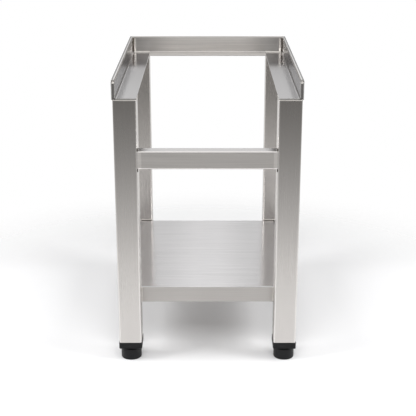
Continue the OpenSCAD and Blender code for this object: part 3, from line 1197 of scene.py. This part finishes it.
weld_top = flange_high.z - HEM / 2
in_wall = inner_y + SHEET / 2
for side, name in SIDES:
    wall_x = side * abs(inner_x)
    weld_x = sorted((wall_x - side * SEAM_WIDE, wall_x - side * (SEAM_WIDE + WELD_WIDE)))
    weld_bar("corner_weld_" + name,
             (weld_x[0], inner_y - WELD_PROUD, flange_top), (weld_x[1], in_wall, weld_top),
             both(runs_along(Z), lies_at(Y, inner_y - WELD_PROUD)), WELD_PROUD)
    lying_x = sorted((wall_x - side * FOLD, side * abs(flange_high.x)))
    weld_bar("flange_end_weld_" + name,
             (lying_x[0], inner_y - FILLET, flange_top - SHEET / 2),
             (lying_x[1], in_wall, flange_top + FILLET),
             both(lies_at(Y, inner_y - FILLET), lies_at(Z, flange_top + FILLET)), FILLET)
    seam_x = sorted((wall_x + side * SHEET / 2, wall_x - side * SEAM_WIDE))
    seam = add_block("corner_seam_" + name, (seam_x[0], inner_y - SEAM_PROUD, flange_top + FOLD / 2),
                     (seam_x[1], in_wall, weld_top))
    soften(seam, SEAM_ROUND)
    hand_over(seam, painted_seam_shade, "sheet_steel")
print("The corner welds are", round((weld_top - flange_top) / MM), "mm high")

# %% [markdown]
# At the crossrail the weld was ground flush, which fills the groove beside the leg's round corner.
# Above and below it a small dark spot is painted shade, in the corner between the rail and the leg.

# %% Grind the welds of the crossrail
FILL_REACH = 0.6 * MM
FILL_IN_GROOVE = 0.3 * MM
FILL_BACK = 0.02 * MM
FILL_SHORT = 0.8 * MM
FILL_ROUND = 0.6 * MM
SHADE_SPOT_LONG = 4.4 * MM
SHADE_SPOT_WIDE = 1.6 * MM
SHADE_SPOT_FROM = 0.2 * MM
SHADE_SPOT_BACK = 2.6 * MM
shade_spots = []

for side, name in SIDES:
    joint_x = side * abs(rail_low.x)
    ends = sorted((joint_x + side * (LEG_CORNER - FILL_IN_GROOVE), joint_x - side * FILL_REACH))
    fill = add_block("rail_fill_" + name,
                     (ends[0], rail_low.y + FILL_BACK, rail_low.z + FILL_SHORT),
                     (ends[1], rail_low.y + LEG_CORNER, rail_high.z - FILL_SHORT))
    soften(fill, FILL_ROUND)
    hand_over(fill, steel_along_x, "leg_steel")
    spot = Vector((joint_x - side * FILL_IN_GROOVE, rail_low.y + SHADE_SPOT_BACK, 0))
    for z, way in ((rail_high.z, 1), (rail_low.z, -1)):
        start = spot + Vector((0, 0, z + way * SHADE_SPOT_FROM))
        end = spot + Vector((0, 0, z + way * SHADE_SPOT_LONG))
        shade_spots.append(bead("painted_seam_shade", start, end, Y, SHADE_SPOT_WIDE, SHADE_SPOT_WIDE))
hand_over(join_beads("painted_seam_shades", shade_spots), painted_seam_shade, "leg_steel")
print("Left", len(shade_spots), "painted shade spots beside the crossrail")

# %% [markdown]
# Behind the shelf a dark seam between its edge and each rear leg is painted shade, with a thin bright
# bead on it.
# Four more beads join the shelf's folded corners to the legs, and two hold the crossrail from behind.

# %% Weld the shelf and the crossrail
SHELF_SEAM_DEEP = 4 * MM
SHELF_SEAM_IN_LEG = 0.2 * MM
SHELF_SEAM_PROUD = 0.4 * MM
SHELF_SEAM_ROUND = 0.15 * MM
SHELF_SEAM_SHORT = 1 * MM
LEG_BEAD_UP = 1.6 * MM
LEG_BEAD = (2.4 * MM, 1.0 * MM)
SHELF_BEAD = (2.4 * MM, 1.2 * MM)
RAIL_BEAD = (2.6 * MM, 1.0 * MM)
BEAD_SHORT = 3 * MM

for corner in ("rear_left", "rear_right"):
    leg_low, leg_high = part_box("leg_" + corner)
    seam_low = (max(leg_low.x, shelf_low.x) + SHELF_SEAM_SHORT, leg_low.y - SHELF_SEAM_DEEP,
                shelf_high.z - SHELF_SHEET / 2)
    seam_high = (min(leg_high.x, shelf_high.x) - SHELF_SEAM_SHORT, leg_low.y + SHELF_SEAM_IN_LEG,
                 shelf_high.z + SHELF_SEAM_PROUD)
    seam = add_block("shelf_seam_" + corner, seam_low, seam_high)
    soften(seam, SHELF_SEAM_ROUND)
    hand_over(seam, painted_seam_shade, "shelf_steel")
    bead_z = shelf_high.z + LEG_BEAD_UP
    leg_weld = bead("leg_seam_weld_" + corner, (seam_low[X], leg_low.y, bead_z),
                    (seam_high[X], leg_low.y, bead_z), Y, *LEG_BEAD)
    hand_over(leg_weld, weld_metal, "shelf_steel")

shelf_beads = []
rail_beads = []
for joint_x in (rail_low.x, rail_high.x):
    for face_y in (shelf_low.y, shelf_high.y):
        shelf_beads.append(bead("bead", (joint_x, face_y, shelf_low.z + BEAD_SHORT),
                                (joint_x, face_y, shelf_high.z - SHELF_EDGE), Y, *SHELF_BEAD))
    rail_beads.append(bead("bead", (joint_x, rail_high.y, rail_low.z + BEAD_SHORT),
                           (joint_x, rail_high.y, rail_high.z - BEAD_SHORT), Y, *RAIL_BEAD))
hand_over(join_beads("shelf_welds", shelf_beads), weld_metal, "shelf_steel")
hand_over(join_beads("crossrail_welds", rail_beads), weld_metal, "leg_steel")
print("Laid", len(shelf_beads), "beads at the shelf and", len(rail_beads), "at the crossrail")

# %% [markdown]
# ## The nodes that stay
#
# The plates on the legs, the stiffener, the plugs and the nuts already have their true shape in the
# frame, so they only take a finish.

# %% Paint the remaining nodes
kept_finishes = {
    # The leg caps take painted shade, for the shade under the flange.
    "leg_cap": shade_painted_steel,
    "shelf_stiffener": steel_along_x,
    "leg_insert": black_plastic,
    "foot_nuts": zinc,
}
painted = 0
for name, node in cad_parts.items():
    for start, finish in kept_finishes.items():
        if name.startswith(start):
            node.data.materials.clear()
            node.data.materials.append(finish)
            painted += 1
print("Painted", painted, "nodes of the frame")

# %% [markdown]
# ## Finish
#

# %% Put everything down
put_down()
